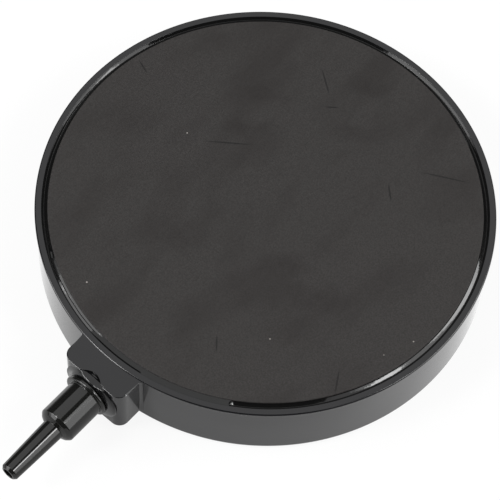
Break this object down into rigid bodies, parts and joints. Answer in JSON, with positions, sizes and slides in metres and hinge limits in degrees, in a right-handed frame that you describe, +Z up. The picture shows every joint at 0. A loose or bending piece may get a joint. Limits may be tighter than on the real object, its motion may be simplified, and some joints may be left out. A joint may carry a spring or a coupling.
{
  "type": "fine bubble disc diffuser",
  "caption": "Round disc air diffuser: a porous ceramic plate bonded into a shallow moulded dish, with a stepped hose nozzle on its side.",
  "frame": {"origin": "centre of the dish's underside", "axes": "+Z up out of the porous plate, +X out along the hose nozzle"},
  "size_m": [0.1401, 0.107, 0.0188],
  "materials": {
    "moulded_abs": "glossy injection-moulded black ABS",
    "porous_ceramic": "fine-grained sintered ceramic, dark grey, matt with a slight sheen",
    "cured_adhesive": "glossy black cured adhesive, hand-run bead",
    "nozzle_abs": "satin injection-moulded black ABS",
    "nozzle_solvent_cement": "glossy black cement squeezed out round the nozzle"
  },
  "bodies": {
    "root": {"housing": "moulded_abs", "diffuser_plate": "porous_ceramic", "plate_adhesive": "cured_adhesive", "hose_nozzle": "nozzle_abs", "nozzle_adhesive": "nozzle_solvent_cement"}
  },
  "joints": []
}
